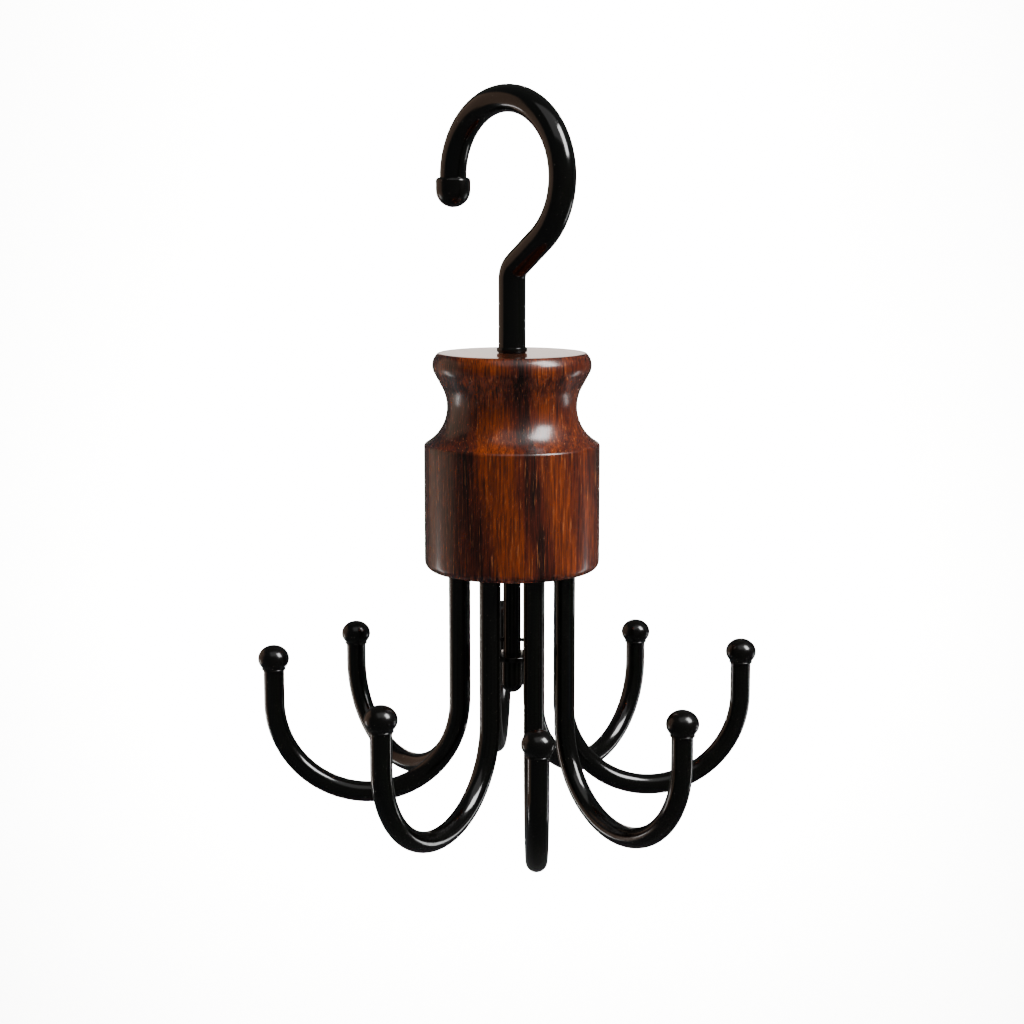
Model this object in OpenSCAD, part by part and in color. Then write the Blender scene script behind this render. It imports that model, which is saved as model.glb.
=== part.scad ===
// Revolving tie hanger: a turned hardwood block that spins under a rail hook and carries eight bent tie hooks.
// The origin is where a rail bears on the inside of the hook's crown. +Z is up, along the swivel axis.
// The hook lies in the XZ plane, so a rail runs along Y.

/* [Rail hook] */
// Diameter of the hook's wire
hook_wire_d = 8.5; // [7:0.5:9]
// Clear width inside the hook's round part
rail_space_d = 39; // [34:1:46]
// Distance from the swivel axis to the middle of the round part, towards the tip
crown_offset = 2.5; // [0:0.5:3]
// Centreline radius of the reverse bend above the shank
neck_bend_r = 6; // [5.5:0.5:8]
// How far the straight run above that bend leans from upright
neck_lean = 52; // [46:1:58]
// Height from the wood block's top face up to where the rail bears
hang_h = 73; // [68:1:85]
// Length of wire held inside the tip knob
knob_grip_len = 5; // [3:0.5:6]
// Wall of the tip knob round the wire
knob_wall = 1.25; // [1:0.05:2.5]
// Length of the tip knob
knob_len = 9.4; // [8.4:0.2:14]
// Radius of the knob's upper edge
knob_edge_r = 1.1; // [0.5:0.1:1.2]
// How far the stop ring stands out from the shank
stop_ring_wall = 0.45; // [0.3:0.05:1.5]
// Height of the stop ring
stop_ring_h = 1.4; // [1:0.1:3]

/* [Wood block] */
// Diameter of the block's straight lower part
block_d = 55; // [53:1:62]
// Height of the block
block_h = 68; // [65:1:80]
// Radius of the rounded lip at the top
lip_bead_r = 5; // [4.6:0.1:5.4]
// Diameter over the lip
lip_d = 49.6; // [48.6:0.2:50.6]
// Depth of the lip's widest place below the top face
lip_depth = 3.8; // [3.4:0.1:4.2]
// Diameter of the waist
waist_d = 40.6; // [39.6:0.2:41.6]
// Depth of the waist below the top face
waist_depth = 16.7; // [15.6:0.1:17]
// Radius of the cove that forms the waist
cove_r = 13; // [12.5:0.1:13.6]
// Radius of the shoulder's edge
shoulder_r = 1.2; // [0.6:0.1:2]
// Radius of the block's bottom edge
block_edge_r = 3; // [1:0.5:4]
// Diameter of the recess under the block that holds the swivel's nut
recess_d = 20; // [19:0.5:22]
// Depth of that recess
recess_depth = 20; // [18:1:24]
// Wood left above the upper bush
bush_cover = 4; // [3:0.5:8]

/* [Swivel] */
// Wall of the two bushes
bush_wall = 2; // [1.5:0.1:2.5]
// Length of each bush's sleeve
bush_len = 14; // [8:1:16]
// Diameter of the lower bush's flange
bush_flange_d = 18; // [16:0.5:18.5]
// Thickness of that flange
bush_flange_t = 2; // [1.5:0.25:3]
// Diameter of the spindle
spindle_d = 5.6; // [4.6:0.2:6]
// Length of spindle screwed into the shank
spindle_grip_len = 12; // [8:1:16]
// Length of spindle that stands out below the block, down to the end cap
spindle_drop = 29.2; // [24:0.2:32]
// Diameter of the thrust washer
thrust_washer_d = 16; // [14:0.5:18]
// Thickness of the thrust washer
thrust_washer_t = 1.5; // [1:0.25:2.5]
// Width of the lock nut across its flats
lock_nut_af = 9; // [8:0.5:11]
// Height of the lock nut
lock_nut_h = 5; // [4:0.5:7]
// Diameter of the cross pin in the spindle
cross_pin_d = 1.2; // [1:0.1:1.6]
// Length of the cross pin
cross_pin_len = 12; // [10:0.5:14]
// Height of the cross pin above the end washer
cross_pin_rise = 4.5; // [3:0.5:8]
// Angle of the cross pin from the hook's plane
cross_pin_turn = 45; // [0:15:165]
// Diameter of the end washer
end_washer_d = 13; // [10:0.5:16]
// Thickness of the end washer
end_washer_t = 1.6; // [1:0.2:2.4]
// Wall of the end cap round the spindle
end_cap_wall = 0.9; // [0.6:0.1:2]
// Length of the end cap
end_cap_len = 11; // [10:0.5:16]
// Length of spindle inside the end cap
end_cap_grip_len = 7; // [4:0.5:9]

/* [Tie hooks] */
// Diameter of the tie hooks' rod
rod_d = 6.5; // [5:0.5:7]
// Radius of the circle on which the rods enter the block
stem_circle_r = 17.9; // [16.5:0.1:20]
// Depth of the rods in the block
stem_grip_len = 24; // [16:1:28]
// Length of straight rod from the block down to the bend
stem_len = 45.7; // [40:0.1:60]
// Centreline radius of the bend
bend_r = 29.2; // [26:0.1:33]
// Height of a usual ball's middle above the bend
leg_len = 12.5; // [10:0.5:20]
// Diameter of the balls on the tips
ball_d = 9.8; // [8.6:0.2:12]

/* [Fits] */
// Radial clearance of what turns on the shank
running_gap = 0.05; // [0.02:0.01:0.1]
// Gap between faces that turn past each other
face_gap = 0.3; // [0.2:0.05:0.4]
// Radial room for glue round each rod
glue_gap = 0.05; // [0.02:0.01:0.1]
// Radial clearance of the shank in the wood
wood_gap = 0.1; // [0.05:0.05:0.2]

/* [Hidden] */
$fn = 96;
// How far each tie hook is turned about its own stem
hook_turn = [-9, -22, -33, -15, -16, -26, -28, -22.5];
// How much lower each tie hook sits than stem_len
hook_drop = [-0.1, 3.8, 2.2, -1, -1, -6, -3.3, -4];
// How much higher each ball stands than leg_len
leg_extra = [1.3, 0.5, -0.8, 1.2, -3, -4, -3.5, 1];
hook_count = len(hook_turn);
hook_step = 360 / hook_count;
wood_colour = [0.36, 0.13, 0.07];
gloss_black = [0.05, 0.05, 0.055];
steel_colour = [0.62, 0.63, 0.65];
brass_colour = [0.78, 0.62, 0.32];
// Room by which a cutting shape passes the face it opens
past = 1;
// Each bend and straight run of the rail hook stops this short of the next one's end
joint_gap = 0.1;
// How far the sphere that joins them stands out from the wire
joint_swell = 0.02;
// How far one round outline reaches past the line that it runs into, so that the two cross
outline_lap = 0.01;

wire_r = hook_wire_d / 2;
crown_r = rail_space_d / 2 + wire_r;
crown_x = -crown_offset;
crown_z = -sqrt(pow(rail_space_d / 2, 2) - pow(crown_offset, 2));
// The straight run leaves the round part where the wire leans by neck_lean, and the reverse bend ends on the swivel axis
run_top_x = crown_x + crown_r * cos(neck_lean);
run_top_z = crown_z - crown_r * sin(neck_lean);
run_end_x = neck_bend_r * (1 - cos(neck_lean));
run_len = (run_top_x - run_end_x) / sin(neck_lean);
run_end_z = run_top_z - run_len * cos(neck_lean);
neck_end_z = run_end_z - neck_bend_r * sin(neck_lean);
tip_x = crown_x - crown_r;
knob_r = wire_r + knob_wall;

block_top_z = -hang_h;
block_bottom_z = block_top_z - block_h;
recess_top_z = block_bottom_z + recess_depth;
bush_flange_bottom_z = recess_top_z - bush_flange_t;
shank_end_z = bush_flange_bottom_z - face_gap;
bush_bore_d = hook_wire_d + 2 * running_gap;
bush_d = bush_bore_d + 2 * bush_wall;
upper_bush_top_z = block_top_z - bush_cover;

thrust_washer_bottom_z = shank_end_z - thrust_washer_t;
end_cap_top_z = block_bottom_z - spindle_drop;
end_washer_top_z = end_cap_top_z + end_washer_t;
cross_pin_z = end_washer_top_z + cross_pin_rise;
spindle_top_z = shank_end_z + spindle_grip_len;
spindle_bottom_z = end_cap_top_z - end_cap_grip_len;

stem_top_z = block_bottom_z + stem_grip_len;

// An upright cylinder between two heights
module post(d, low, high) {
    translate([0, 0, low]) cylinder(d = d, h = high - low);
}

// A ring or washer between two heights
module ring(outer_d, inner_d, low, high) {
    difference() {
        post(outer_d, low, high);
        post(inner_d, low - past, high + past);
    }
}

// A bend of round wire in the XZ plane about the origin, from +X upwards
module wire_bend(d, r, sweep) {
    rotate([90, 0, 0])
        rotate_extrude(angle = sweep)
            translate([r, 0])
                circle(d = d, $fn = 48);
}

// The angle by which a bend stops short of its end, which a sphere fills
function turn_over(r) = joint_gap / r * 180 / PI;

// The sphere that joins a bend to a straight run
module wire_joint(x, z) {
    translate([x, 0, z]) sphere(d = hook_wire_d + 2 * joint_swell);
}

// One piece of wire: tip, round part, straight run, reverse bend and shank, tapped at its lower end for the spindle
module top_hook() {
    color(gloss_black)
        difference() {
            union() {
                translate([crown_x, 0, crown_z]) {
                    translate([-crown_r, 0, 0]) post(hook_wire_d, -knob_grip_len, 0);
                    wire_bend(hook_wire_d, crown_r, 180);
                    rotate([180, 0, 0])
                        wire_bend(hook_wire_d, crown_r, neck_lean - turn_over(crown_r));
                }
                wire_joint(run_top_x, run_top_z);
                translate([run_top_x, 0, run_top_z])
                    rotate([0, neck_lean, 0])
                        post(hook_wire_d, joint_gap - run_len, -joint_gap);
                wire_joint(run_end_x, run_end_z);
                translate([0, 0, neck_end_z]) {
                    translate([neck_bend_r, 0, 0])
                        rotate([0, 0, 180])
                            wire_bend(hook_wire_d, neck_bend_r, neck_lean - turn_over(neck_bend_r));
                    post(hook_wire_d, shank_end_z - neck_end_z, 0);
                }
            }
            post(spindle_d, shank_end_z - past, spindle_top_z);
        }
}

// Half of the knob's outline: a domed cap with a rounded upper edge
module knob_outline() {
    rim_w = knob_r - knob_edge_r;
    translate([0, knob_r - knob_len])
        intersection() {
            circle(r = knob_r);
            translate([0, -knob_r]) square(knob_r);
        }
    translate([0, knob_r - knob_len]) square([knob_r, knob_len - knob_r - knob_edge_r]);
    translate([0, -knob_edge_r]) square([rim_w, knob_edge_r]);
    translate([rim_w, -knob_edge_r])
        intersection() {
            circle(r = knob_edge_r);
            square(knob_edge_r);
        }
}

// The knob pushed onto the hook's tip
module hook_tip_knob() {
    color(gloss_black)
        translate([tip_x, 0, crown_z])
            difference() {
                rotate_extrude() knob_outline();
                post(hook_wire_d, -knob_grip_len, past);
            }
}

// The ring fixed to the shank just above the block
module stop_ring() {
    low = block_top_z + face_gap;
    color(gloss_black) ring(hook_wire_d + 2 * stop_ring_wall, hook_wire_d, low, low + stop_ring_h);
}

// A bar of the cross pin's diameter, square to the spindle
module cross_bar(length) {
    translate([0, 0, cross_pin_z])
        rotate([0, 90, cross_pin_turn])
            cylinder(d = cross_pin_d, h = length, center = true);
}

// The rod screwed into the shank, which carries the block's load and the end cap
module spindle() {
    color(gloss_black)
        difference() {
            post(spindle_d, spindle_bottom_z, spindle_top_z);
            cross_bar(spindle_d + 2 * past);
        }
}

// The washer that the lower bush turns on, clamped against the shank's end
module thrust_washer() {
    color(steel_colour) ring(thrust_washer_d, spindle_d, thrust_washer_bottom_z, shank_end_z);
}

// The nut that holds the thrust washer
module lock_nut() {
    color(steel_colour)
        translate([0, 0, thrust_washer_bottom_z - lock_nut_h])
            difference() {
                cylinder(d = lock_nut_af / cos(30), h = lock_nut_h, $fn = 6);
                translate([0, 0, -past]) cylinder(d = spindle_d, h = lock_nut_h + 2 * past);
            }
}

// The pin through the spindle above the end washer
module cross_pin() {
    color(gloss_black) cross_bar(cross_pin_len);
}

// The washer seated on the end cap
module end_washer() {
    color(gloss_black) ring(end_washer_d, spindle_d, end_cap_top_z, end_washer_top_z);
}

// The domed cap screwed onto the spindle's lower end
module end_cap() {
    r = spindle_d / 2 + end_cap_wall;
    color(gloss_black)
        translate([0, 0, end_cap_top_z])
            difference() {
                union() {
                    translate([0, 0, r - end_cap_len]) sphere(r = r);
                    post(2 * r, r - end_cap_len, 0);
                }
                post(spindle_d, -end_cap_grip_len, past);
            }
}

// A ring of round section about the Z axis: a bead where it is added, a cove where it is cut
module round_ring(x, z, r) {
    translate([0, 0, z])
        rotate_extrude()
            translate([x, 0])
                circle(r = r);
}

// The turned block before it is drilled, with its top face at zero
module block_blank() {
    side = block_d / 2;
    bead_x = lip_d / 2 - lip_bead_r;
    cove_x = waist_d / 2 + cove_r;
    // The lip's bead hands over to the cove where the two come closest
    lip_angle = atan2(waist_depth - lip_depth, cove_x - bead_x);
    lip_edge_x = bead_x + lip_bead_r * cos(lip_angle);
    edge_x = side - shoulder_r + outline_lap;
    reach = cove_r + shoulder_r - outline_lap;
    shoulder_z = -waist_depth - sqrt(pow(reach, 2) - pow(cove_x - edge_x, 2));
    meet_x = cove_x - (cove_x - edge_x) * cove_r / (cove_r + shoulder_r);
    foot = block_edge_r - outline_lap;
    intersection() {
        union() {
            round_ring(bead_x, -lip_depth, lip_bead_r);
            post(2 * bead_x, -lip_depth - past, past);
            difference() {
                union() {
                    post(2 * lip_edge_x, -waist_depth, -lip_depth);
                    post(2 * meet_x, shoulder_z - past, past - waist_depth);
                }
                round_ring(cove_x, -waist_depth, cove_r);
            }
            round_ring(edge_x, shoulder_z, shoulder_r);
            post(block_d + 2 * past, foot - block_h, shoulder_z);
            round_ring(side - foot, foot - block_h, block_edge_r);
            post(block_d - 2 * foot, -block_h - past, foot + past - block_h);
        }
        post(block_d, -block_h, 0);
    }
}

// Puts its children at one tie hook's stem, with the hook opening towards -Y
module at_stem(i) {
    rotate([0, 0, (i + 0.5) * hook_step])
        translate([0, -stem_circle_r, 0])
            children();
}

// The turned block: bored for the bushes, recessed below for the nut, and drilled for the rods
module wood_block() {
    color(wood_colour)
        difference() {
            translate([0, 0, block_top_z]) block_blank();
            post(hook_wire_d + 2 * wood_gap, upper_bush_top_z - past, block_top_z + past);
            post(bush_d, recess_top_z - past, upper_bush_top_z);
            post(recess_d, block_bottom_z - past, recess_top_z);
            for (i = [0 : hook_count - 1])
                at_stem(i) post(rod_d + 2 * glue_gap, block_bottom_z - past, stem_top_z);
        }
}

// The plain bush pressed up under the block's top
module upper_bush() {
    color(brass_colour) ring(bush_d, bush_bore_d, upper_bush_top_z - bush_len, upper_bush_top_z);
}

// The flanged bush that hangs the block on the thrust washer
module lower_bush() {
    color(brass_colour)
        difference() {
            union() {
                post(bush_d, recess_top_z, recess_top_z + bush_len);
                post(bush_flange_d, bush_flange_bottom_z, recess_top_z);
            }
            post(bush_bore_d, bush_flange_bottom_z - past, recess_top_z + bush_len + past);
        }
}

// Height of the bend's middle, and of the ball's middle, on one tie hook
function bend_z(i) = block_bottom_z - stem_len - hook_drop[i];
function ball_z(i) = bend_z(i) + leg_len + leg_extra[i];

// Puts its children where one tie hook's bend starts, with the hook opening towards its own -Y
module at_bend(i) {
    at_stem(i)
        translate([0, 0, bend_z(i)])
            rotate([0, 0, hook_turn[i]])
                children();
}

// Puts its children at the middle of one tie hook's ball
module at_ball(i) {
    at_bend(i)
        translate([0, -2 * bend_r, ball_z(i) - bend_z(i)])
            children();
}

// One rod bent into a hook
module tie_hook(i) {
    color(gloss_black)
        at_bend(i) {
            post(rod_d, 0, stem_top_z - bend_z(i));
            translate([0, -bend_r, 0])
                rotate([180, 0, 90])
                    wire_bend(rod_d, bend_r, 180);
            translate([0, -2 * bend_r, 0]) post(rod_d, 0, ball_z(i) - bend_z(i));
        }
}

// One ball, pushed onto its rod down to the middle
module ball_tip(i) {
    color(gloss_black)
        at_ball(i)
            difference() {
                sphere(d = ball_d);
                post(rod_d + 2 * glue_gap, -ball_d, 0);
            }
}

top_hook();
hook_tip_knob();
stop_ring();
spindle();
thrust_washer();
lock_nut();
cross_pin();
end_washer();
end_cap();
wood_block();
upper_bush();
lower_bush();
for (i = [0 : hook_count - 1]) {
    tie_hook(i);
    ball_tip(i);
}
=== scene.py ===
import math

import bmesh
import bpy
from mathutils import Matrix, Vector


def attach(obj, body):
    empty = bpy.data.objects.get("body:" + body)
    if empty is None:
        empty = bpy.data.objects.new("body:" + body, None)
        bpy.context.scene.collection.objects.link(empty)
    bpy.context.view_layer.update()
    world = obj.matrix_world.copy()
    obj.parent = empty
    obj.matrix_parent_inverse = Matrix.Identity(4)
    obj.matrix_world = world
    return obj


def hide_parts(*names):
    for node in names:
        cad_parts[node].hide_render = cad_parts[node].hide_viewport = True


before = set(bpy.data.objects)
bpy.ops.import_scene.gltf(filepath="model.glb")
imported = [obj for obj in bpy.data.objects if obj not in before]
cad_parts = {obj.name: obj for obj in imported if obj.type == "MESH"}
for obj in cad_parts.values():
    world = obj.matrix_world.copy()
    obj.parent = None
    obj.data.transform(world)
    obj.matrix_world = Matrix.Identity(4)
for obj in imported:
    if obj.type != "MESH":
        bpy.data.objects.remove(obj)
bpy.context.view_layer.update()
print("frame loaded:", len(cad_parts), "nodes")

mm = 0.001
weldGap = 0.002 * mm  # points closer than this are one point


def linear(hexColour):
    parts = [int(hexColour[i:i + 2], 16) / 255 for i in (1, 3, 5)]
    return [c / 12.92 if c <= 0.04045 else ((c + 0.055) / 1.055) ** 2.4 for c in parts] + [1]


def addNode(tree, kind, settings=None, inputs=None):
    # settings are the node's own properties; an input is a value or another node's output
    node = tree.nodes.new(kind)
    for name, value in (settings or {}).items():
        setattr(node, name, value)
    for name, value in (inputs or {}).items():
        socket = node.inputs[name]
        if isinstance(value, bpy.types.NodeSocket):
            tree.links.new(value, socket)
        else:
            socket.default_value = value
    return node


def newMaterial(name):
    made = bpy.data.materials.new(name)
    made.use_nodes = True
    made.node_tree.nodes.clear()
    return made


def fillRamp(node, stops):
    # stops are (place, colour) pairs, a colour being an sRGB hex value or a linear grey from 0 to 1
    ramp = node.color_ramp
    while len(ramp.elements) < len(stops):
        ramp.elements.new(0.5)
    for element, (place, colour) in zip(ramp.elements, stops):
        element.position = place
        element.color = linear(colour) if isinstance(colour, str) else (colour, colour, colour, 1)


def finishMaterial(tree, shader):
    addNode(tree, "ShaderNodeOutputMaterial", inputs={"Surface": shader.outputs["BSDF"]})


# Rosewood: turned with its grain upright, sanded fine and finished in clear gloss lacquer.
# The eye sees near-black and orange-brown streaks, short open pores, and one clean reflection over them.
rosewood = {
    # tone of the growth layers from one side of the block to the other: place in mm, 0 black to 1 orange
    "layers": [(-27, 0.50), (-19, 0.52), (-15, 0.30), (-12, 0.46), (-8.5, 0.82),
               (-2, 0.78), (1.5, 0.52), (4.5, 0.17), (7.5, 0.30), (10, 0.66),
               (14, 0.72), (18.5, 0.46), (21, 0.64), (25, 0.46), (28, 0.40)],
    "reachMm": 28.0,                    # the layers run from minus this to this
    "lean": 0.14, "leanFromZ": -107.0,  # slope of the layers, and the height where they are in place
    "wanderMm": 5.0,                    # how far the layers wander from their places
    "fibreMm": 0.9, "fibreDepth": 3.5,  # a fibre is this wide, and so many times deeper than wide
    "lineMm": 0.34,                     # width of pores and of the painted glints
    "poreTone": 0.22, "poreStrength": 0.6, "glintGain": 0.35,
    "black": "#170602", "dark": "#2a0c04", "red": "#491707", "brown": "#602608", "orange": "#82360c",
    # pale colour of the painted glints
    "paintedGlint": "#c27a48",
}


def makeRosewood(name, finish):
    w = rosewood
    reach = w["reachMm"]
    fibreWide, lineWide = 1 / w["fibreMm"], 1 / w["lineMm"]
    made = newMaterial(name)
    tree = made.node_tree
    place = addNode(tree, "ShaderNodeTexCoord")
    # into millimetres, turned so that X runs across the growth layers
    across = addNode(tree, "ShaderNodeMapping", {"vector_type": "POINT"}, {
        "Vector": place.outputs["Object"], "Rotation": (0, 0, math.radians(-45)), "Scale": (1 / mm,) * 3})
    split = addNode(tree, "ShaderNodeSeparateXYZ", inputs={"Vector": across.outputs[0]})
    # the layers wander as the tree grew
    slow = addNode(tree, "ShaderNodeMapping", inputs={
        "Vector": across.outputs[0], "Scale": (0.06, 0.06, 0.028)})
    slowNoise = addNode(tree, "ShaderNodeTexNoise", {"noise_dimensions": "3D"}, {
        "Vector": slow.outputs[0], "Scale": 1.0, "Detail": 3.0, "Roughness": 0.6})
    wander = addNode(tree, "ShaderNodeMath", {"operation": "MULTIPLY_ADD"}, {
        0: slowNoise.outputs[0], 1: 2 * w["wanderMm"], 2: -w["wanderMm"] + w["lean"] * w["leanFromZ"]})
    lean = addNode(tree, "ShaderNodeMath", {"operation": "MULTIPLY_ADD"}, {
        0: split.outputs["Z"], 1: w["lean"], 2: split.outputs["X"]})
    unlean = addNode(tree, "ShaderNodeMath", {"operation": "SUBTRACT"}, {
        0: lean.outputs[0], 1: 2 * w["lean"] * w["leanFromZ"]})
    layer = addNode(tree, "ShaderNodeMath", {"operation": "ADD"}, {
        0: unlean.outputs[0], 1: wander.outputs[0]})
    layerPlace = addNode(tree, "ShaderNodeMapRange", inputs={
        "Value": layer.outputs[0], "From Min": -reach, "From Max": reach})
    layerTone = addNode(tree, "ShaderNodeValToRGB", inputs={"Fac": layerPlace.outputs[0]})
    fillRamp(layerTone, [((x + reach) / (2 * reach), tone) for x, tone in w["layers"]])
    # fibres: upright streaks about a millimetre wide and a few centimetres long
    fibre = addNode(tree, "ShaderNodeMapping", inputs={
        "Vector": across.outputs[0], "Scale": (fibreWide, fibreWide / w["fibreDepth"], 0.055)})
    fibreNoise = addNode(tree, "ShaderNodeTexNoise", {"noise_dimensions": "3D"}, {
        "Vector": fibre.outputs[0], "Scale": 1.0, "Detail": 4.0, "Roughness": 0.65, "Distortion": 0.3})
    fibreTone = addNode(tree, "ShaderNodeMapRange", inputs={
        "Value": fibreNoise.outputs[0], "From Min": 0.3, "From Max": 0.7, "To Min": -0.30, "To Max": 0.27})
    tone = addNode(tree, "ShaderNodeMath", {"operation": "ADD"}, {
        0: layerTone.outputs[0], 1: fibreTone.outputs[0]})
    colour = addNode(tree, "ShaderNodeValToRGB", inputs={"Fac": tone.outputs[0]})
    fillRamp(colour, [(0.02, w["black"]), (0.22, w["dark"]), (0.45, w["red"]), (0.68, w["brown"]),
                      (0.95, w["orange"])])
    # open pores: crisp dark lines, some millimetres long, a little coarser than real ones so that they show
    line = addNode(tree, "ShaderNodeMapping", inputs={
        "Vector": across.outputs[0], "Scale": (lineWide, lineWide / w["fibreDepth"], 0.11)})
    lineNoise = addNode(tree, "ShaderNodeTexNoise", {"noise_dimensions": "3D"}, {
        "Vector": line.outputs[0], "Scale": 1.0, "Detail": 2.0, "Roughness": 0.5})
    pores = addNode(tree, "ShaderNodeMapRange", {"interpolation_type": "SMOOTHSTEP"}, {
        "Value": lineNoise.outputs[0], "From Min": 0.40, "From Max": 0.50,
        "To Min": w["poreTone"], "To Max": 1.0})
    poreColour = addNode(tree, "ShaderNodeCombineXYZ", inputs={
        "X": pores.outputs[0], "Y": pores.outputs[0], "Z": pores.outputs[0]})
    pored = addNode(tree, "ShaderNodeMix", {"data_type": "RGBA", "blend_type": "MULTIPLY"}, {
        "Factor": w["poreStrength"], 6: colour.outputs[0], 7: poreColour.outputs[0]})
    # painted glints: pale specks painted where light would catch single fibres; the finish's lift adds an
    # even painted sheen of the same pale colour
    glintMask = addNode(tree, "ShaderNodeMapRange", {"interpolation_type": "SMOOTHSTEP"}, {
        "Value": lineNoise.outputs[0], "From Min": 0.64, "From Max": 0.72,
        "To Min": finish["lift"], "To Max": finish["lift"] + w["glintGain"]})
    glinted = addNode(tree, "ShaderNodeMix", {"data_type": "RGBA", "blend_type": "MIX"}, {
        "Factor": glintMask.outputs[0], 6: pored.outputs[2], 7: linear(w["paintedGlint"])})
    bump = addNode(tree, "ShaderNodeBump", inputs={
        "Strength": 0.6, "Distance": 0.03 * mm, "Height": lineNoise.outputs[0]})
    shader = addNode(tree, "ShaderNodeBsdfPrincipled", inputs={
        "Base Color": glinted.outputs[2], "Roughness": finish["roughness"], "IOR": 1.5,
        "Specular IOR Level": finish["specular"], "Normal": bump.outputs[0], "Coat Weight": finish["coat"],
        "Coat Roughness": finish["coatRoughness"], "Coat IOR": 1.5, "Coat Normal": bump.outputs[0]})
    finishMaterial(tree, shader)
    return made


# Clear gloss lacquer on the turned sides; end grain takes more coats, so the flat ends are filled and mirror
# what stands on them.
# lift mixes the pale painted glint colour evenly over the whole surface, a painted sheen; only the flat ends
# get a little
sideFinish = {"coat": 0.9, "coatRoughness": 0.22, "roughness": 0.5, "specular": 0.12, "lift": 0.0}
endFinish = {"coat": 1.0, "coatRoughness": 0.06, "roughness": 0.5, "specular": 0.1, "lift": 0.04}

# Stoved black enamel on steel rod: it flows out smooth, with a slight orange peel that bends reflections.
blackEnamel = {"colour": "#050504", "roughness": 0.13, "peelMm": 2.5, "peelDepthMm": 0.02}
# Moulded phenolic: the tips and caps, black right through, a shade softer than the enamel.
blackMoulding = {"colour": "#070605", "roughness": 0.2, "peelMm": 4.0, "peelDepthMm": 0.012}


def makeBlack(name, black):
    roughness = black["roughness"]
    made = newMaterial(name)
    tree = made.node_tree
    place = addNode(tree, "ShaderNodeTexCoord")
    peel = addNode(tree, "ShaderNodeTexNoise", {"noise_dimensions": "3D"}, {
        "Vector": place.outputs["Object"], "Scale": 1 / (black["peelMm"] * mm),
        "Detail": 2.0, "Roughness": 0.5})
    gloss = addNode(tree, "ShaderNodeMapRange", inputs={
        "Value": peel.outputs[0], "From Min": 0.3, "From Max": 0.7,
        "To Min": roughness * 0.85, "To Max": roughness * 1.2})
    bump = addNode(tree, "ShaderNodeBump", inputs={
        "Strength": 0.3, "Distance": black["peelDepthMm"] * mm, "Height": peel.outputs[0]})
    shader = addNode(tree, "ShaderNodeBsdfPrincipled", inputs={
        "Base Color": linear(black["colour"]), "Roughness": gloss.outputs[0], "IOR": 1.5,
        "Normal": bump.outputs[0]})
    finishMaterial(tree, shader)
    return made


# Zinc-plated steel and brass, turned, so fine rings catch the light; seen only from below in the recess.
zincPlate = {"colour": "#c6c8cb", "roughness": 0.3}
turnedBrass = {"colour": "#c9a25a", "roughness": 0.28}


def makeTurnedMetal(name, metal):
    roughness = metal["roughness"]
    made = newMaterial(name)
    tree = made.node_tree
    place = addNode(tree, "ShaderNodeTexCoord")
    turning = addNode(tree, "ShaderNodeTexWave", {
        "wave_type": "RINGS", "rings_direction": "Z", "wave_profile": "SIN"}, {
        "Vector": place.outputs["Object"], "Scale": 900.0, "Distortion": 0.6, "Detail": 2.0})
    gloss = addNode(tree, "ShaderNodeMapRange", inputs={
        "Value": turning.outputs[1], "To Min": roughness * 0.8, "To Max": roughness * 1.25})
    bump = addNode(tree, "ShaderNodeBump", inputs={
        "Strength": 0.2, "Distance": 0.01 * mm, "Height": turning.outputs[1]})
    shader = addNode(tree, "ShaderNodeBsdfPrincipled", inputs={
        "Base Color": linear(metal["colour"]), "Metallic": 1.0, "Roughness": gloss.outputs[0],
        "Normal": bump.outputs[0]})
    finishMaterial(tree, shader)
    return made


woodLook = makeRosewood("lacqueredRosewood", sideFinish)
endGrainLook = makeRosewood("lacqueredEndGrain", endFinish)
enamelLook = makeBlack("glossEnamelledSteel", blackEnamel)
mouldingLook = makeBlack("mouldedPhenolic", blackMoulding)
zincLook = makeTurnedMetal("zincPlatedSteel", zincPlate)
brassLook = makeTurnedMetal("turnedBrass", turnedBrass)
print("materials made")


def putInScene(bm, name, look, body, slotName, *nodes, sharpAngle=35):
    bmesh.ops.remove_doubles(bm, verts=bm.verts, dist=weldGap)
    bmesh.ops.recalc_face_normals(bm, faces=bm.faces)
    mesh = bpy.data.meshes.new(name)
    bm.to_mesh(mesh)
    bm.free()
    for face in mesh.polygons:
        face.use_smooth = True
    mesh.set_sharp_from_angle(angle=math.radians(sharpAngle))
    mesh.materials.append(look)
    made = bpy.data.objects.new(name, mesh)
    bpy.context.scene.collection.objects.link(made)
    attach(made, body)
    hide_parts(*nodes)
    return made


def arcPoints(centreX, centreZ, radius, fromDeg, toDeg, count):
    # points of a round in the lathe's half plane, angles from +X towards +Z
    angles = [math.radians(fromDeg + (toDeg - fromDeg) * i / count) for i in range(count + 1)]
    return [(centreX + radius * math.cos(angle), centreZ + radius * math.sin(angle)) for angle in angles]


def turnOnLathe(outline, centre=(0, 0, 0), closed=False, steps=96):
    # outline is (radius, height) pairs in mm, from the axis or round a hollow form
    bm = bmesh.new()
    points = [bm.verts.new((x * mm, 0, z * mm)) for x, z in outline]
    edges = [bm.edges.new(pair) for pair in zip(points, points[1:])]
    if closed:
        edges.append(bm.edges.new((points[-1], points[0])))
    bmesh.ops.spin(bm, geom=points + edges, cent=(0, 0, 0), axis=(0, 0, 1), angle=2 * math.pi,
                   steps=steps, use_merge=True, use_duplicate=False)
    bmesh.ops.translate(bm, verts=bm.verts, vec=Vector(centre) * mm)
    return bm


def startWire(diameter, at, sides=40):
    # a closed disc of wire, facing down, ready to be drawn along its run
    bm = bmesh.new()
    bmesh.ops.create_circle(bm, cap_ends=False, radius=diameter / 2 * mm, segments=sides)
    bmesh.ops.translate(bm, verts=bm.verts, vec=Vector(at) * mm)
    bmesh.ops.contextual_create(bm, geom=bm.edges[:])
    return bm, bm.edges[:]


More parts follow.
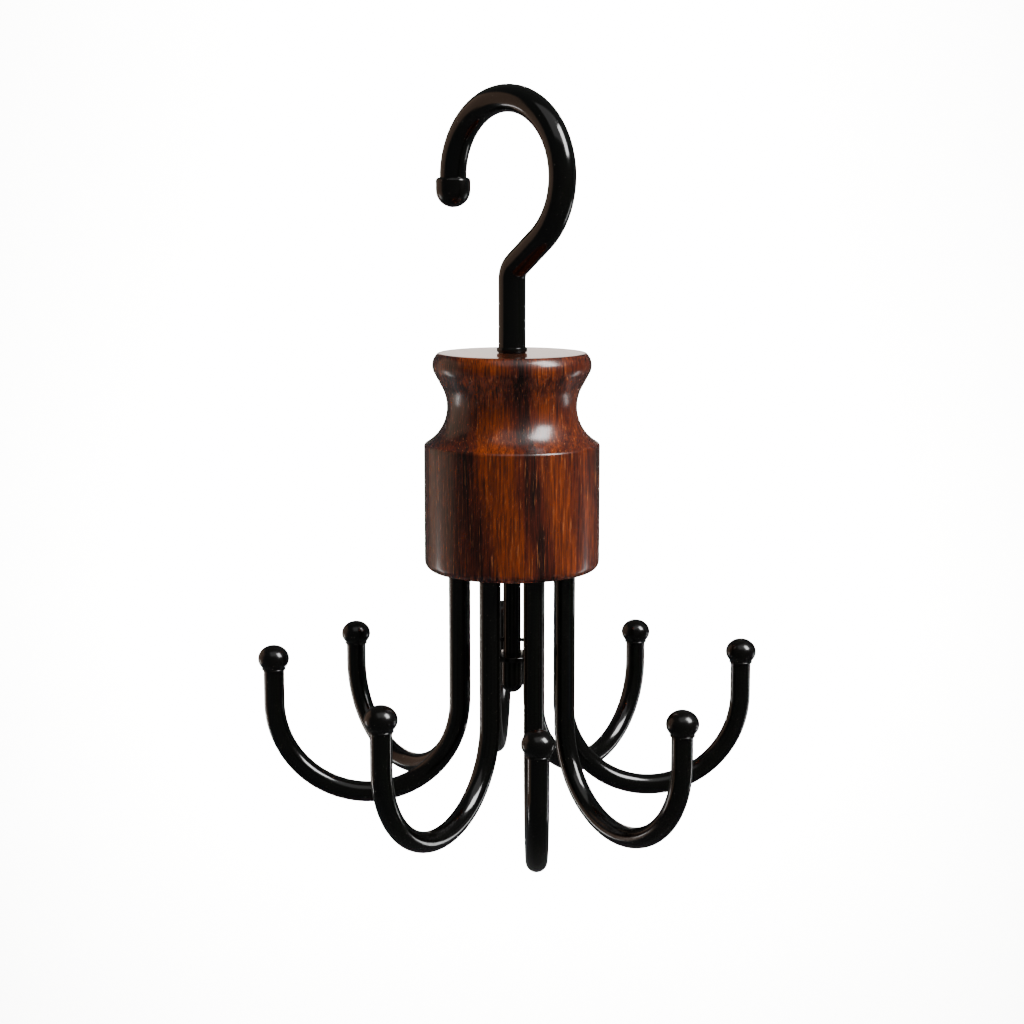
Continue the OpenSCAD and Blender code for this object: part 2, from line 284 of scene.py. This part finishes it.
def drawStraight(bm, rim, by, steps=1):
    for _ in range(steps):
        grown = bmesh.ops.extrude_edge_only(bm, edges=rim)["geom"]
        bmesh.ops.translate(bm, verts=[v for v in grown if isinstance(v, bmesh.types.BMVert)],
                            vec=Vector(by) * mm / steps)
        rim = [e for e in grown if isinstance(e, bmesh.types.BMEdge) and len(e.link_faces) == 1]
    return rim


def drawBend(bm, rim, centre, axis, degrees, steps):
    verts = list({v for e in rim for v in e.verts})
    grown = bmesh.ops.spin(bm, geom=verts + rim, cent=Vector(centre) * mm, axis=axis,
                           angle=math.radians(degrees), steps=steps, use_merge=False, use_duplicate=False)
    return [e for e in grown["geom_last"] if isinstance(e, bmesh.types.BMEdge)]


def endWire(bm, rim):
    bmesh.ops.contextual_create(bm, geom=rim)


block = {
    "topZ": -73.0, "height": 68.0, "width": 55.0,
    "beadRadius": 5.0, "lipWidth": 49.6, "lipDepth": 3.8,
    "waistWidth": 40.6, "waistDepth": 16.7, "coveRadius": 13.0,
    "shoulderRadius": 1.2, "footRadius": 3.0,
    "recessWidth": 20.0, "recessDepth": 20.0, "boreWidth": 8.7, "bushWidth": 12.6, "bushCover": 4.0,
    "faceLoops": (9, 14, 18), "footLoop": 16,  # radii of extra rounds that keep the flat ends flat
    "faceEdge": 0.12,                          # height of the tiny edge where the top face meets the bead
}


def makeBlock():
    b = block
    beadX = b["lipWidth"] / 2 - b["beadRadius"]
    coveX = b["waistWidth"] / 2 + b["coveRadius"]
    side = b["width"] / 2
    edgeX = side - b["shoulderRadius"]
    bore, bush, recess = b["boreWidth"] / 2, b["bushWidth"] / 2, b["recessWidth"] / 2
    floor = -b["height"]
    reach = b["coveRadius"] + b["shoulderRadius"]
    shoulderZ = -b["waistDepth"] - math.sqrt(reach ** 2 - (coveX - edgeX) ** 2)
    # the bead runs straight into the cove along the line that touches both
    away = math.degrees(math.atan2(b["lipDepth"] - b["waistDepth"], coveX - beadX))
    apart = math.hypot(coveX - beadX, b["waistDepth"] - b["lipDepth"])
    touch = away + math.degrees(math.acos(min(1, (b["beadRadius"] + b["coveRadius"]) / apart)))
    faceAngle = math.degrees(math.asin((b["lipDepth"] - b["faceEdge"]) / b["beadRadius"]))
    shoulderFrom = math.degrees(math.atan2(-b["waistDepth"] - shoulderZ, coveX - edgeX))
    rimX = beadX + b["beadRadius"] * math.cos(math.radians(faceAngle))
    outline = [(bore, 0)] + [(x, 0) for x in b["faceLoops"]] + [(rimX - 0.75, 0), (rimX - 0.3, -0.02)]
    outline += arcPoints(beadX, -b["lipDepth"], b["beadRadius"], faceAngle, touch, 22)
    outline += arcPoints(coveX, -b["waistDepth"], b["coveRadius"], 180 + touch, 180 + shoulderFrom, 34)
    outline += arcPoints(edgeX, shoulderZ, b["shoulderRadius"], shoulderFrom, 0, 7)[1:]
    foot = floor + b["footRadius"]
    outline += [(side, shoulderZ + (foot - shoulderZ) * i / 12) for i in range(1, 12)]
    outline += arcPoints(side - b["footRadius"], foot, b["footRadius"], 0, -90, 10)
    # the underside, the eased edge of the recess, and the seats of the bushes
    outline += [(b["footLoop"], floor), (recess + 0.5, floor), (recess + 0.12, floor + 0.1),
                (recess, floor + 0.5), (recess, floor + b["recessDepth"]), (bush, floor + b["recessDepth"]),
                (bush, -b["bushCover"]), (bore, -b["bushCover"])]
    bm = turnOnLathe(outline, (0, 0, b["topZ"]), closed=True, steps=160)
    made = putInScene(bm, "woodBlock", woodLook, "rack", "lacquered_rosewood", "wood_block")
    made.data.materials.append(endGrainLook)
    for face in made.data.polygons:
        if abs(face.normal.z) > 0.999:
            face.material_index = 1


makeBlock()
print("wood block turned")


railHook = {
    "wire": 8.5, "clear": 39.0, "crownOffset": 2.5,  # the round part, open 39 mm inside
    "neckBend": 6.0, "neckLean": 52.0,               # the straight run leans 52 degrees from the shank
    "grip": 5.0, "shankEnd": -123.3,
}


def makeRailHook():
    h = railHook
    crown = h["clear"] / 2 + h["wire"] / 2
    crownX = -h["crownOffset"]
    crownZ = -math.sqrt((h["clear"] / 2) ** 2 - h["crownOffset"] ** 2)
    lean = math.radians(h["neckLean"])
    runAcross = crownX + crown * math.cos(lean) - h["neckBend"] * (1 - math.cos(lean))
    runUp = runAcross / math.tan(lean)
    neckZ = crownZ - crown * math.sin(lean) - runUp - h["neckBend"] * math.sin(lean)
    bm, rim = startWire(h["wire"], (0, 0, h["shankEnd"]), 48)
    rim = drawStraight(bm, rim, (0, 0, neckZ - h["shankEnd"]), 6)
    rim = drawBend(bm, rim, (h["neckBend"], 0, neckZ), (0, 1, 0), h["neckLean"], 18)
    rim = drawStraight(bm, rim, (runAcross, 0, runUp), 2)
    rim = drawBend(bm, rim, (crownX, 0, crownZ), (0, -1, 0), 180 + h["neckLean"], 84)
    rim = drawStraight(bm, rim, (0, 0, -h["grip"]))
    endWire(bm, rim)
    putInScene(bm, "railHook", enamelLook, "hook", "black_enamel", "top_hook")
    return crownX - crown, crownZ  # where the tip knob begins


tipX, tipZ = makeRailHook()

tipKnob = {"wall": 1.25, "length": 9.4, "edge": 1.1}


def makeTipKnob():
    k = tipKnob
    wide = railHook["wire"] / 2 + k["wall"]
    hole = railHook["wire"] / 2
    outline = [(0, -k["length"])] + arcPoints(0, wide - k["length"], wide, -90, 0, 16)[1:]
    outline += [(wide, -k["edge"])] + arcPoints(wide - k["edge"], -k["edge"], k["edge"], 0, 90, 8)[1:]
    outline += [(hole + 0.05, 0), (hole, -0.06), (hole, -railHook["grip"]), (0, -railHook["grip"])]
    bm = turnOnLathe(outline, (tipX, 0, tipZ), steps=64)
    putInScene(bm, "tipKnob", mouldingLook, "hook", "black_moulding", "hook_tip_knob")


makeTipKnob()

swivel = {
    "ringWall": 0.45, "ringHeight": 1.4, "faceGap": 0.3,
    "spindle": 5.6, "spindleTop": -111.3, "jointZ": -141.0,
    "capTop": -170.2, "capGrip": 7.0, "capWall": 0.9, "capLength": 11.0,
    "washer": 13.0, "washerThick": 1.6,
    "pin": 1.2, "pinLength": 12.0, "pinEase": 0.12, "pinRise": 4.5, "pinTurn": 45.0,
}


def easedRing(outer, inner, low, high, ease):
    # the half section of a washer with rounded corners
    return ([(inner, low), (outer - ease, low)] + arcPoints(outer - ease, low + ease, ease, -90, 0, 5)[1:]
            + arcPoints(outer - ease, high - ease, ease, 0, 90, 5) + [(inner, high)])


def makeSwivel():
    s = swivel
    shank = railHook["wire"] / 2
    low = block["topZ"] + s["faceGap"]
    ring = turnOnLathe(easedRing(shank + s["ringWall"], shank, low, low + s["ringHeight"], 0.2), closed=True)
    putInScene(ring, "stopRing", enamelLook, "hook", "black_enamel", "stop_ring")

    bar = s["spindle"] / 2
    foot = s["capTop"] - s["capGrip"]
    spindle = turnOnLathe([(0, foot), (bar, foot), (bar, s["capTop"]), (bar, s["jointZ"]),
                           (bar, s["spindleTop"]), (0, s["spindleTop"])], steps=64)
    putInScene(spindle, "spindleRod", enamelLook, "hook", "black_enamel", "spindle")

    top = s["capTop"] + s["washerThick"]
    washer = turnOnLathe(easedRing(s["washer"] / 2, bar, s["capTop"], top, 0.4), closed=True)
    putInScene(washer, "endWasher", enamelLook, "hook", "black_enamel", "end_washer")

    wide = bar + s["capWall"]
    outline = [(0, -s["capLength"])] + arcPoints(0, wide - s["capLength"], wide, -90, 0, 16)[1:]
    outline += [(wide, -0.2), (wide - 0.15, 0), (bar, 0), (bar, -s["capGrip"]), (0, -s["capGrip"])]
    cap = turnOnLathe(outline, (0, 0, s["capTop"]), steps=64)
    putInScene(cap, "endCap", mouldingLook, "hook", "black_moulding", "end_cap")

    half, thin, ease = s["pinLength"] / 2, s["pin"] / 2, s["pinEase"]
    pin = turnOnLathe([(0, -half), (thin - ease, -half), (thin, -half + ease), (thin, half - ease),
                       (thin - ease, half), (0, half)], steps=24)
    for degrees, axis in ((90, "Y"), (s["pinTurn"], "Z")):
        turn = Matrix.Rotation(math.radians(degrees), 3, axis)
        bmesh.ops.rotate(pin, verts=pin.verts, cent=(0, 0, 0), matrix=turn)
    bmesh.ops.translate(pin, verts=pin.verts, vec=(0, 0, (top + s["pinRise"]) * mm))
    putInScene(pin, "crossPin", enamelLook, "hook", "black_enamel", "cross_pin")


makeSwivel()
print("rail hook and swivel made")


tieHook = {
    "count": 8, "rod": 6.5, "stemCircle": 17.9, "grip": 24.0, "stem": 45.7, "bend": 29.2, "leg": 12.5,
    "ball": 9.8, "squash": 0.87,                # the ball is moulded a little flat
    "collarRadius": 0.3, "collarDrop": 2.75,    # the thin ring where a ball meets its rod
    # each hook was bent and set by hand: turn about its stem in degrees, drop and extra leg in mm
    "turns": [-9, -22, -33, -15, -16, -26, -28, -22.5],
    "drops": [-0.1, 3.8, 2.2, -1, -1, -6, -3.3, -4],
    "legs": [1.3, 0.5, -0.8, 1.2, -3, -4, -3.5, 1],
}


def makeTieHook(index):
    t = tieHook
    number = str(index + 1)
    underside = block["topZ"] - block["height"]
    bendZ = underside - t["stem"] - t["drops"][index]
    legUp = t["leg"] + t["legs"][index]
    stemTurn = Matrix.Rotation(math.radians((index + 0.5) * 360 / t["count"]), 4, "Z")
    toPlace = (stemTurn @ Matrix.Translation(Vector((0, -t["stemCircle"], bendZ)) * mm)
               @ Matrix.Rotation(math.radians(t["turns"][index]), 4, "Z"))

    bm, rim = startWire(t["rod"], (0, 0, underside + t["grip"] - bendZ))
    rim = drawStraight(bm, rim, (0, 0, -t["grip"] + 1))  # down to 1 mm inside the block
    rim = drawStraight(bm, rim, (0, 0, bendZ - underside - 1), 6)
    rim = drawBend(bm, rim, (0, -t["bend"], 0), (-1, 0, 0), 180, 64)
    rim = drawStraight(bm, rim, (0, 0, legUp), 2)
    endWire(bm, rim)
    bmesh.ops.transform(bm, matrix=toPlace, verts=bm.verts)
    putInScene(bm, "tieHook" + number, enamelLook, "rack", "black_enamel", "tie_hook_" + number)

    ball = t["ball"] / 2
    seat = t["rod"] / 2
    low = -math.degrees(math.acos((seat + 0.45) / ball))
    tall = ball * t["squash"]
    middle = ball - tall
    outline = [(0, 0), (seat + 0.03, 0)]
    outline += arcPoints(seat + 0.22, -t["collarDrop"], t["collarRadius"], -150, 60, 10)
    outline += [(x, middle + z * t["squash"]) for x, z in arcPoints(0, 0, ball, low, 90, 30)]
    outline[-1] = (0, ball)
    tip = turnOnLathe(outline, steps=64)
    bmesh.ops.translate(tip, verts=tip.verts, vec=Vector((0, -2 * t["bend"], legUp)) * mm)
    bmesh.ops.transform(tip, matrix=toPlace, verts=tip.verts)
    putInScene(tip, "ballTip" + number, mouldingLook, "rack", "black_moulding", "ball_tip_" + number)


for hookIndex in range(tieHook["count"]):
    makeTieHook(hookIndex)
print("eight tie hooks bent")

cadLooks = {"thrust_washer": zincLook, "lock_nut": zincLook, "upper_bush": brassLook, "lower_bush": brassLook}
for nodeName, look in cadLooks.items():
    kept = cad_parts[nodeName]
    kept.data.materials.clear()
    kept.data.materials.append(look)


# sizes in the studio are metres
studio = {
    "floorDrop": 1.2, "floorFront": 3.0, "wallBack": 2.0, "wallRise": 3.5, "sweep": 0.6, "halfWidth": 5.0,
    "paperColour": "#f7f7f5", "skyStrength": 0.09,
}


def makeStudio():
    s = studio
    # a pale paper sweep: floor, long curve and back wall, square to the camera
    bm = bmesh.new()
    front, base = -s["floorFront"], -s["floorDrop"]
    curveFrom = s["wallBack"] - s["sweep"]
    corners = [bm.verts.new((side * s["halfWidth"], front, base)) for side in (-1, 1)]
    rim = [bm.edges.new(corners)]
    rim = drawStraight(bm, rim, (0, (curveFrom - front) / mm, 0))
    rim = drawBend(bm, rim, (0, curveFrom / mm, (base + s["sweep"]) / mm), (1, 0, 0), 90, 24)
    drawStraight(bm, rim, (0, 0, s["wallRise"] / mm))
    bmesh.ops.rotate(bm, verts=bm.verts, cent=(0, 0, 0), matrix=Matrix.Rotation(math.radians(45), 3, "Z"))
    mesh = bpy.data.meshes.new("paperSweep")
    bm.to_mesh(mesh)
    bm.free()
    for face in mesh.polygons:
        face.use_smooth = True
    paper = newMaterial("matPaper")
    tree = paper.node_tree
    place = addNode(tree, "ShaderNodeTexCoord")
    tooth = addNode(tree, "ShaderNodeTexNoise", inputs={"Vector": place.outputs["Object"], "Scale": 300.0})
    bump = addNode(tree, "ShaderNodeBump", inputs={
        "Strength": 0.05, "Distance": 0.1 * mm, "Height": tooth.outputs[0]})
    shader = addNode(tree, "ShaderNodeBsdfPrincipled", inputs={
        "Base Color": linear(s["paperColour"]), "Roughness": 0.9, "Specular IOR Level": 0.1,
        "Normal": bump.outputs[0]})
    finishMaterial(tree, shader)
    mesh.materials.append(paper)
    sweep = bpy.data.objects.new("paperSweep", mesh)
    bpy.context.scene.collection.objects.link(sweep)
    # the paper whitens the view, and the gloss shows the softboxes and the sky alone
    sweep.visible_glossy = False

    world = bpy.data.worlds.new("studioSky")
    world.use_nodes = True
    sky = world.node_tree.nodes["Background"]
    sky.inputs["Color"].default_value = (1, 1, 1, 1)
    sky.inputs["Strength"].default_value = s["skyStrength"]
    bpy.context.scene.world = world


makeStudio()

# fitted to the photograph: place in mm, pitch in degrees below level, lens in mm on a 36 mm sensor
cameraPlace = {"x": 430.05, "y": -430.05, "z": -23.15, "pitch": 9.33, "lens": 69.0, "sensor": 36}


def makeCamera():
    c = cameraPlace
    data = bpy.data.cameras.new("studioCamera")
    data.lens = c["lens"]
    data.sensor_width = c["sensor"]
    data.clip_start, data.clip_end = 0.01, 50
    made = bpy.data.objects.new("studioCamera", data)
    made.location = Vector((c["x"], c["y"], c["z"])) * mm
    made.rotation_euler = (math.radians(90 - c["pitch"]), 0, math.radians(45))
    bpy.context.scene.collection.objects.link(made)
    bpy.context.scene.camera = made


makeCamera()

# a softbox stands at a bearing to the right of the camera, a height angle and a distance from the aim
aim = Vector((0, 0, -0.11))
softboxes = {
    "keySoftbox": {"bearing": 60, "height": 42, "distance": 1.1, "size": (0.42, 0.62), "power": 25},
    "fillSoftbox": {"bearing": -108, "height": 4, "distance": 1.5, "size": (1.5, 1.8), "power": 5,
                    "colour": (1.0, 0.62, 0.42)},
    "topSoftbox": {"bearing": 12, "height": 60, "distance": 1.5, "size": (1.5, 1.1), "power": 4},
}
# narrow strips draw a thin light line near both edges of every rod; they stand low, where the straight part
# of the block doesn't mirror them
edgeStrips = {"bearings": {"left": -113, "right": 113}, "distance": 1.3, "z": -0.66, "size": (0.10, 0.5),
              "power": 1.6}
# a panel behind, that only the block's top face mirrors
topPanel = {"place": (-1.06, 1.06, 0.06), "aimUp": 0.03, "size": (0.6, 0.16), "power": 0.52,
            "colour": (1.0, 0.88, 0.80)}
# two lights face away from the hanger and whiten the paper behind it
paperLights = {"back": 1.05, "aimDrop": 0.35, "spread": 110}
paperBanks = {
    "upperPaperLight": {"z": 0.95, "size": (1.5, 0.5), "power": 150},
    "lowerPaperLight": {"z": -1.1, "size": (1.5, 0.35), "power": 130},
}


def lightPlace(bearing, height, distance):
    side, lift = math.radians(45 + bearing), math.radians(height)
    away = Vector((math.cos(lift) * math.sin(side), -math.cos(lift) * math.cos(side), math.sin(lift)))
    return aim + distance * away


def addLight(name, place, target, settings, spread=180):
    light = bpy.data.lights.new(name, "AREA")
    light.shape = "RECTANGLE"
    light.size, light.size_y = settings["size"]
    light.energy = settings["power"]
    light.color = settings.get("colour", (1, 1, 1))
    light.spread = math.radians(spread)
    made = bpy.data.objects.new(name, light)
    made.location = place
    made.rotation_mode = "QUATERNION"
    made.rotation_quaternion = (Vector(target) - Vector(place)).to_track_quat("-Z", "Y")
    bpy.context.scene.collection.objects.link(made)
    return made


def lightStudio():
    for name, box in softboxes.items():
        addLight(name, lightPlace(box["bearing"], box["height"], box["distance"]), aim, box)
    for side, bearing in edgeStrips["bearings"].items():
        place = lightPlace(bearing, 0, edgeStrips["distance"])
        place.z = edgeStrips["z"]
        addLight(side + "Strip", place, (0, 0, edgeStrips["z"]), edgeStrips)
    panel = addLight("topPanel", topPanel["place"], aim + Vector((0, 0, topPanel["aimUp"])), topPanel)
    panel.visible_camera = False
    behind = Vector((-1, 1, 0)).normalized()
    wallMiddle = behind * studio["wallBack"] + Vector((0, 0, -paperLights["aimDrop"]))
    for name, bank in paperBanks.items():
        place = behind * paperLights["back"] + Vector((0, 0, bank["z"]))
        addLight(name, place, wallMiddle, bank, paperLights["spread"])


lightStudio()
print("studio lit")
